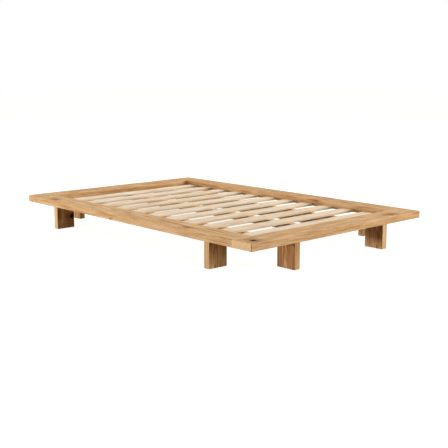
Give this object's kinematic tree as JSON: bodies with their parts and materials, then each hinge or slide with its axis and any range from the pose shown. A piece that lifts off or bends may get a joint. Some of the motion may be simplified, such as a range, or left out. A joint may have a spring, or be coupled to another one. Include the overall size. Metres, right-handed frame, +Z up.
{
  "type": "low platform bed",
  "caption": "Low platform bed of wide flat oak rails on short board legs, with a recessed deck of pine slats on lengthwise bearers.",
  "frame": {"origin": "on the floor, under the middle of the bed", "axes": "+X across the bed to its right side as seen from the foot end, +Y along the bed to the head end, +Z up"},
  "size_m": [1.52, 2.32, 0.2],
  "materials": {
    "oak": "oiled oak, satin",
    "pine": "planed pine, untreated",
    "beech": "turned beech, untreated",
    "zinc_plate": "zinc plated, matt",
    "screw_steel": "zinc plated, bright",
    "insert_brass": "turned brass"
  },
  "bodies": {
    "root": {"foot_rail": "oak", "head_rail": "oak", "side_rail_left": "oak", "side_rail_right": "oak", "end_leg_foot_left": "oak", "end_leg_foot_right": "oak", "end_leg_head_left": "oak", "end_leg_head_right": "oak", "side_leg_foot_left": "oak", "side_leg_foot_right": "oak", "side_leg_head_left": "oak", "side_leg_head_right": "oak", "slat_01": "pine", "slat_02": "pine", "slat_03": "pine", "slat_04": "pine", "slat_05": "pine", "slat_06": "pine", "slat_07": "pine", "slat_08": "pine", "slat_09": "pine", "slat_10": "pine", "slat_11": "pine", "bearer_left": "pine", "bearer_centre": "pine", "bearer_right": "pine", "slat_pegs": "beech", "corner_dowels": "beech", "corner_plates": "zinc_plate", "leg_plates": "zinc_plate", "bearer_straps": "zinc_plate", "bearer_brackets": "zinc_plate", "corner_screws": "screw_steel", "leg_screws": "screw_steel", "leg_bolts": "screw_steel", "strap_screws": "screw_steel", "bracket_screws": "screw_steel", "rail_inserts": "insert_brass"}
  },
  "joints": []
}
